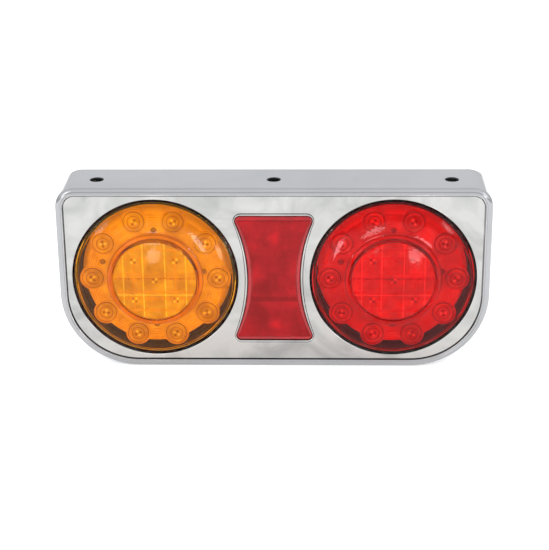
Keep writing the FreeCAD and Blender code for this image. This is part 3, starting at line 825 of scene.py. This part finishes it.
def optic_rows():
    """Rings of points down the optic's outside: its rounded front edge, then its flaring wall."""
    rows = []
    for inset, z in rounded_side(FLANGE_TOP, OPTIC_FRONT, OPTIC_EDGE)[: ROUND_STEPS + 1]:
        rows.append([(x, y, z) for x, y in scallop_outline(inset)])
    flare = 8
    top = OPTIC_FRONT - OPTIC_EDGE
    for step in range(1, flare + 1):
        share = step / flare
        z = top - share * (top - OPTIC_FOOT)
        reach = OPTIC_RADIUS + share * (FOOT_RADIUS - OPTIC_RADIUS)
        row = []
        for x, y in scallop_outline(0):
            grow = max(reach / math.hypot(x, y), 1.0)
            row.append((x * grow, y * grow, z))
        rows.append(row)
    return rows


def wall_inside(row, height=None):
    """A ring of the optic's outside moved in by its wall, at its own height or another."""
    points = []
    for x, y, z in row:
        share = 1 - OPTIC_WALL / math.hypot(x, y)
        points.append((x * share, y * share, z if height is None else height))
    return points


def eye(shape, turn):
    """One eye of the optic, its fine rings and its four petals."""
    x, y = EYE_CIRCLE * math.cos(turn), EYE_CIRCLE * math.sin(turn)
    shape.lathe(eye_section(), x, y, 48, MIDDLE)
    shape.lathe(ring_section(9.0, 50.4, 51.5, 0.3), x, y, 48, DEEP)
    shape.lathe(ring_section(10.7, OPTIC_FRONT - 0.4, 50.85, 0.25), x, y, 48, RING)
    shape.lathe(ring_section(5.4, 51.0, 52.2, 0.22), x, y, 48, DEEP)
    petal = [(1.25, 51.7), (1.1, 52.4), (0.6, 52.7), (0.0, 52.7), (0.0, 51.7)]
    four_petals(shape, x, y, 2.1, petal, turn, PEG, BRIGHT)


def four_petals(shape, x, y, reach, section, turn, odd, even):
    """Four small dots round a point, in two tones by turns."""
    for petal in range(4):
        lean = turn + math.radians(45 + 90 * petal)
        px, py = x + reach * math.cos(lean), y + reach * math.sin(lean)
        shape.lathe(section, px, py, 12, odd if petal % 2 else even)


def optic(colour):
    """The scalloped optic with its collar and eyes, the ribs between them and the pegs that hold it."""
    shape = Shape()
    rows = optic_rows()
    under = OPTIC_FRONT - OPTIC_WALL
    inner = [wall_inside(row) for row in reversed(rows[ROUND_STEPS + 1 :])]
    inner.append(wall_inside(rows[ROUND_STEPS], under))
    shape.skin(rows[: ROUND_STEPS + 1])
    # the flaring wall takes the edge tone, which is painted lighter and lit from within against its shade
    shape.skin(rows[ROUND_STEPS:] + inner, False, EDGE)
    hole = circle_outline(OPTIC_HOLE)(0)
    shape.fill([scallop_outline(OPTIC_EDGE), hole], OPTIC_FRONT)
    shape.fill([[(x, y) for x, y, _ in inner[-1]], hole], under)
    shape.skin([[(x, y, z) for x, y in hole] for z in (OPTIC_FRONT, under)])
    foot, top = OPTIC_FRONT - 0.2, COLLAR_TOP
    collar = [(36.5, foot), (36.5, top - 0.3), (36.8, top), (40.7, top), (41.2, top - 0.5), (41.4, foot)]
    shape.lathe(collar, steps=160, number=RING)
    shape.lathe(ring_section(36.9, top - 0.2, top + 0.15, 0.3), steps=160, number=DEEP)
    shape.lathe(ring_section(40.8, top - 0.4, top + 0.1, 0.25), steps=160, number=DEEP)
    for number in range(EYES):
        turn = math.tau * number / EYES
        eye(shape, turn)
        between = turn + math.pi / EYES
        for reach, half in ((48.0, 4.0), (50.4, 4.4), (52.8, 4.8), (55.2, 5.2), (57.0, 5.6)):
            bar(shape, between, reach, half, 0.7, OPTIC_FRONT - 0.2, OPTIC_FRONT + 0.4, RING)
    foot = OPTIC_FRONT - 0.3
    peg = [(2.7, foot), (2.4, OPTIC_FRONT + 0.5), (0.0, OPTIC_FRONT + 0.7), (0.0, foot)]
    for x, y in PEGS:
        shape.lathe(peg, x, y, 20, PEG)
    # painted highlights: two thin rings of light along the lens seat's edges
    for radius, z, tone in PAINTED_EDGE_LINES:
        shape.lathe(ring_section(radius, z - 0.5, z, 0.12), steps=192, number=tone)
    slot = f"{colour}_optic"
    make(
        f"{colour}_eye_optic",
        shape,
        lamp_origin(colour),
        [MATERIALS[slot + tone] for tone in EYE_TONES],
        [slot],
    )


def pillow_optic(colour):
    """The round middle optic: shallow pillows, ribs across them and a petalled spot before each LED."""
    shape = Shape()
    steps, rings = 200, 60
    turns = [math.tau * step / steps for step in range(steps)]
    rows = []
    for ring in range(rings + 1):
        radius = PILLOW_RADIUS * ring / rings
        points = [(radius * math.cos(t), radius * math.sin(t)) for t in turns]
        rows.append([(x, y, middle_height(x, y)) for x, y in points])
    rows.append([(x, y, PILLOW_BACK) for x, y, _ in rows[-1]])
    rows.append([(0.0, 0.0, PILLOW_BACK)] * steps)
    shape.skin(rows)
    for y, width, number in MIDDLE_ROWS:
        cross_rib(shape, y, width, number, False)
    for x, width, number in MIDDLE_COLUMNS:
        cross_rib(shape, x, width, number, True)
    petal = [(1.2, 55.0), (1.0, 57.3), (0.0, 57.5), (0.0, 55.0)]
    pitch = PILLOW_PITCH
    for x, y in ((-pitch, -pitch), (pitch, -pitch), (-pitch, pitch), (pitch, pitch), (0, 0)):
        four_petals(shape, x, y, 2.0, petal, 0.0, DEEP, BRIGHT)
    slot = f"{colour}_optic"
    make(
        f"{colour}_middle_optic",
        shape,
        lamp_origin(colour),
        [MATERIALS[slot + tone] for tone in CENTRE_TONES],
        [f"{colour}_pillow_optic"],
        smooth=50,
    )


def ring_section(radius, low, high, half=0.28):
    """Section of a fine ridge round an axis."""
    return [(radius - half, low), (radius - half, high), (radius + half, high), (radius + half, low)]


def middle_height(x, y):
    """Height of the middle optic's face: shallow pillows, twice as many across as up."""
    across = (x / PILLOW_PITCH * 2 + 0.5) % 1 * 2 - 1
    up = (y / PILLOW_PITCH + 0.5) % 1 * 2 - 1
    return PILLOW_VALLEY + PILLOW_CROWN * (1 - across**2) + PILLOW_CROWN * (1 - up**2)


def cross_rib(shape, place, width, number, upright):
    """A fine rib right across the middle optic at a distance from its axis."""
    half = math.sqrt(PILLOW_RADIUS**2 - place**2) - 0.8
    steps = 40
    rows = []
    for step in range(steps + 1):
        along = half * (2 * step / steps - 1)
        x, y = (place, along) if upright else (along, place)
        z = middle_height(x, y)
        row = []
        for off, lift in ((-0.5, -0.4), (-0.35, 0.12), (0.35, 0.12), (0.5, -0.4)):
            px, py = (x + off * width, y) if upright else (x, y + off * width)
            row.append((px, py, max(z, middle_height(px, py)) + lift))
        rows.append(row)
    shape.skin(rows, False, number)
    shape.add(rows[0], [(0, 1, 2, 3)], number)
    shape.add(rows[-1], [(3, 2, 1, 0)], number)


def lamp_body(colour):
    """The black body behind each lens: its rim, a deep channel round the optic and a cup for epoxy."""
    section = [
        (LENS_RADIUS - 0.2, 38.9),
        (68.95, 38.9),
        (68.95, 49.3),
        (68.6, 49.6),
        (67.3, 49.6),
        (67.0, 49.3),
        (66.6, 38.9),
        (65.9, 38.3),
        (65.7, 30.0),
        (64.6, 29.0),
        (60.0, 29.0),
        (60.0, 37.9),
        (51.0, 37.9),
        (51.0, 35.0),
        (58.0, 35.0),
        (58.0, 26.0),
        (0.0, 26.0),
        (0.0, 24.0),
        (66.5, 24.0),
        (67.6, 25.1),
        (68.2, 35.6),
        (LENS_RADIUS - 0.2, 35.6),
    ]
    shape = Shape().lathe(section, steps=144)
    make(
        f"{colour}_lamp_body",
        shape,
        lamp_origin(colour),
        [MATERIALS["black_base"]],
        [f"{colour}_lamp_base"],
    )


def lamp(colour):
    """One lamp: its lens, its black body and its two optics.

    The lens casts no shadow, so that the lights reach the optics behind it.
    """
    slot = f"{colour}_lens"
    piece = make(
        f"{colour}_lens_moulding",
        Shape().lathe(lens_section(), steps=192),
        lamp_origin(colour),
        [MATERIALS[slot]],
        [slot],
        smooth=40,
    )
    piece.visible_shadow = False
    bpy.data.collections["lenses"].objects.link(piece)
    lamp_body(colour)
    optic(colour)
    pillow_optic(colour)


# -------------------------------------------------------------------------------------------- reflector


def reflector():
    """The red reflector: an upright edge, a shallow bevel with a groove, and a flat face."""
    side = [(0.0, REFLECTOR_BACK), (0.0, 51.4), (0.4, 52.0)]
    bevel = [(0.4, 52.0), (3.0, 52.7), (3.2, 52.35), (3.6, 52.35), (REFLECTOR_BEVEL, REFLECTOR_FRONT)]
    shape = Shape().skin([[(x, y, z) for x, y in waist_outline(inset)] for inset, z in side])
    shape.skin([[(x, y, z) for x, y in waist_outline(inset)] for inset, z in bevel], False, 1)
    shape.fill([waist_outline(REFLECTOR_BEVEL)], REFLECTOR_FRONT)
    shape.fill([waist_outline(0.0)], REFLECTOR_BACK)
    make(
        "red_reflector",
        shape,
        FACE,
        [MATERIALS["red_reflector"], MATERIALS["red_reflector_edge"]],
        ["reflector_lens"],
    )


# ------------------------------------------------------------------------------------------------- back


def screw_places():
    """The six screws of the back cover, from the CAD node's own solids."""
    node = frame["nodes"]["back_cover_screws"]
    mesh = bmesh.new()
    mesh.from_mesh(node.data)
    bmesh.ops.remove_doubles(mesh, verts=mesh.verts, dist=0.001 * MM)
    places, left = [], set(mesh.verts)
    while left:
        island, edge = set(), [left.pop()]
        while edge:
            vert = edge.pop()
            island.add(vert)
            near = {link.other_vert(vert) for link in vert.link_edges} & left
            left -= near
            edge += near
        xs, zs = [v.co.x for v in island], [v.co.z for v in island]
        places.append(((min(xs) + max(xs)) / 2, (min(zs) + max(zs)) / 2))
    mesh.free()
    return sorted(places)


def cross_cut_head(shape, x, y, radius, seat, rise):
    """A pan head with a cross recess, its seat at z = seat, standing out backwards."""
    steps = 40
    rows = []
    turns = [math.tau * step / steps for step in range(steps)]
    for r, z in ((radius, seat), (radius, seat - rise * 0.55), (radius * 0.86, seat - rise * 0.9)):
        rows.append([(x + r * math.cos(t), y + r * math.sin(t), z) for t in turns])
    shape.skin(rows)
    arm, wide = radius * 0.6, radius * 0.17
    rim = []
    for quarter in range(4):
        turn = math.radians(90 * quarter)
        c, s = math.cos(turn), math.sin(turn)
        for px, py in ((arm, -wide), (arm, wide), (wide, wide)):
            rim.append((x + px * c - py * s, y + px * s + py * c))
    top = seat - rise
    outer = [(px, py) for px, py, _ in rows[-1]]
    lines = [[Vector((px, py, 0)) for px, py in ring] for ring in (outer, rim)]
    points = [(px, py, seat - rise * 0.9) for px, py in outer] + [(px, py, top) for px, py in rim]
    shape.add(points, [tuple(face) for face in tessellate_polygon(lines)])
    floor = [(x + (px - x) * 0.75, y + (py - y) * 0.75, top + rise * 0.6) for px, py in rim]
    wall = [(px, py, top) for px, py in rim]
    shape.skin([wall, floor])
    shape.add(floor, [tuple(range(len(floor)))])
    shape.add(rows[0], [tuple(range(steps))])


def long_rib(shape, y, half):
    """A low rounded rib across the back at a height of y."""
    section = [(math.cos(math.pi * step / 6), math.sin(math.pi * step / 6)) for step in range(7)]
    steps = 8
    rows = []
    for side in (-1, 1):
        turns = [math.pi / 2 * step / steps for step in range(steps + 1)]
        ends = [(half - 1.2 + 1.2 * math.sin(t), max(math.cos(t), 0.02)) for t in turns]
        if side < 0:
            ends = [(-x, share) for x, share in reversed(ends)]
        for x, share in ends:
            ridge = [(x, y + 1.3 * c * share, 0.3 - 1.2 * s * share) for c, s in section]
            rows.append(ridge + [(x, y, 0.5)])
    shape.skin(rows)
    shape.add(rows[0], [tuple(range(8))])
    shape.add(rows[-1], [tuple(reversed(range(8)))])


def back():
    """The grained back cover with its raised border and ribs, and the screws that hold it."""
    shape = Shape().plate([lambda inset: housing_outline(WALL + 0.4 + inset)], 0.0, COVER_THICK, 0.5)
    crown = [(math.cos(math.pi * step / 6), math.sin(math.pi * step / 6)) for step in range(7)]
    half = 1.1
    border = [(COVER_BORDER - half * x, 0.2 - half * z) for x, z in crown]
    border += [(COVER_BORDER + half, 0.6), (COVER_BORDER - half, 0.6)]
    shape.sweep(housing_outline, border)
    for rib in range(COVER_RIBS):
        y = TOP_RIB - RIB_PITCH * rib
        long_rib(shape, y, RIB_HALF - max(0.0, -y) * 0.5)
    make("rear_cover", shape, FACE, [MATERIALS["black_cover"]], ["back_cover"])
    heads = Shape()
    for x, z in screw_places():
        cross_cut_head(heads, (x - FACE.x) / MM, (z - FACE.z) / MM, HEAD_RADIUS, 0.0, HEAD_RISE)
    screw = MATERIALS["zinc_screw"]
    make("rear_cover_screws", heads, FACE, [screw], ["back_cover_screws"])


# ------------------------------------------------------------------------------------------------ studio


def light_table():
    """White acrylic sheet lit from below, so that shadows on it stay faint."""
    material, tree, shader, place = start_material("white acrylic light table")
    clouds = add(tree, "ShaderNodeTexNoise", {"Vector": place, "Scale": per_mm(400.0), "Detail": 2.0})
    tint = add(
        tree,
        "ShaderNodeValToRGB",
        {"Fac": clouds.outputs["Fac"]},
        stops=[(0.0, paint("#f8f8f8")), (1.0, paint("#ffffff"))],
    )
    tree.links.new(tint.outputs["Color"], shader.inputs["Base Color"])
    tree.links.new(tint.outputs["Color"], shader.inputs["Emission Color"])
    shader.inputs["Emission Strength"].default_value = 0.4
    shader.inputs["Roughness"].default_value = 0.9
    shader.inputs["Specular IOR Level"].default_value = 0.0
    return material


def studio():
    """A pale floor, a soft sky, three softboxes, a window, a low lamp and four small cards.

    The cards are oval and give the soft glints. Two of them light nothing but the lenses.
    """
    floor_z = shell_low.z
    size = 6.0
    grid = 24
    mesh = bpy.data.meshes.new("floor")
    points = [
        ((across / grid - 0.5) * size, (deep / grid - 0.5) * size, floor_z)
        for deep in range(grid + 1)
        for across in range(grid + 1)
    ]
    wide = grid + 1
    faces = [
        (row * wide + col, row * wide + col + 1, (row + 1) * wide + col + 1, (row + 1) * wide + col)
        for row in range(grid)
        for col in range(grid)
    ]
    mesh.from_pydata(points, [], faces)
    floor = bpy.data.objects.new("floor", mesh)
    bpy.context.collection.objects.link(floor)
    mesh.materials.append(light_table())

    world = bpy.data.worlds.new("studio")
    world.use_nodes = True
    bpy.context.scene.world = world
    tree = world.node_tree
    way = add(tree, "ShaderNodeTexCoord").outputs["Generated"]
    height = add(tree, "ShaderNodeSeparateXYZ", {"Vector": way}).outputs["Z"]
    sky = add(
        tree,
        "ShaderNodeValToRGB",
        {"Fac": height},
        stops=[
            (0.0, paint("#cccdcf")),
            (0.3, paint("#e6e8eb")),
            (0.45, paint("#f4f5f7")),
            (0.8, paint("#f4f5f7")),
            (1.0, paint("#eeeff1")),
        ],
    )
    background = tree.nodes["Background"]
    tree.links.new(sky.outputs["Color"], background.inputs["Color"])
    background.inputs["Strength"].default_value = 1.5

    lenses = bpy.data.collections.new("lenses")
    for name, place, aim, wide, tall, power in (
        ("overhead softbox", (0.0, -1.0, 1.3), (0.0, 0.0, -0.1), 2.4, 1.2, 2.0),
        ("left softbox", (-1.3, -1.2, 0.9), (0.0, 0.0, -0.08), 0.9, 0.9, 4.5),
        ("right softbox", (1.4, -0.9, 0.7), (0.0, 0.0, -0.08), 0.7, 0.9, 2.6),
        ("window", (-1.2, -1.7, 0.1), (0.0, 0.0, -0.08), 0.25, 0.3, 1.4),
        ("low lamp", (1.1, -1.7, 0.16), (0.0, 0.0, -0.08), 0.2, 0.3, 1.6),
        ("right card", (0.144, -0.242, -0.125), (0.124, -0.055, -0.064), 0.02, 0.025, 0.012),
        ("left card", (-0.126, -0.242, -0.125), (-0.107, -0.055, -0.062), 0.02, 0.03, 0.012),
        ("left lens card", (-0.035, -0.335, -0.108), (0.055, -0.055, -0.051), 0.04, 0.07, 0.09),
        ("right lens card", (0.081, -0.325, -0.107), (-0.045, -0.055, -0.057), 0.04, 0.06, 0.05),
    ):
        lamp_data = bpy.data.lights.new(name, "AREA")
        lamp_data.shape = "ELLIPSE" if "card" in name else "RECTANGLE"
        lamp_data.size, lamp_data.size_y = wide, tall
        lamp_data.energy = power
        light = bpy.data.objects.new(name, lamp_data)
        bpy.context.collection.objects.link(light)
        light.location = place
        light.visible_camera = False
        if "lens" in name:
            light.light_linking.receiver_collection = lenses
        light.rotation_euler = (Vector(aim) - Vector(place)).to_track_quat("-Z", "Y").to_euler()


def camera():
    """A long lens from a little above, looking down at the face."""
    pitch, yaw, roll = 0.3856, -0.0301, -0.0100
    distance, focal_mm, sensor_mm = 1.3455, 102.46, 36.0
    aim = Vector((0.00054, shell_low.y, FACE.z + 0.00447))
    ahead = Vector((math.sin(yaw) * math.cos(pitch), math.cos(yaw) * math.cos(pitch), -math.sin(pitch)))
    right = ahead.cross(Vector((0, 0, 1))).normalized()
    up = right.cross(ahead)
    level = math.cos(roll) * right + math.sin(roll) * up
    upright = math.cos(roll) * up - math.sin(roll) * right
    data = bpy.data.cameras.new("camera")
    data.lens, data.sensor_width = focal_mm, sensor_mm
    data.clip_start, data.clip_end = 0.05, 50.0
    eye = bpy.data.objects.new("camera", data)
    bpy.context.collection.objects.link(eye)
    turn = Matrix((level, upright, -ahead)).transposed().to_4x4()
    eye.matrix_world = Matrix.Translation(aim - ahead * distance) @ turn
    bpy.context.scene.camera = eye


camera()
studio()
finish_cad_nodes()
housing()
face()
reflector()
for lamp_colour in ("amber", "red"):
    lamp(lamp_colour)
back()

bpy.context.scene.view_settings.view_transform = "Standard"
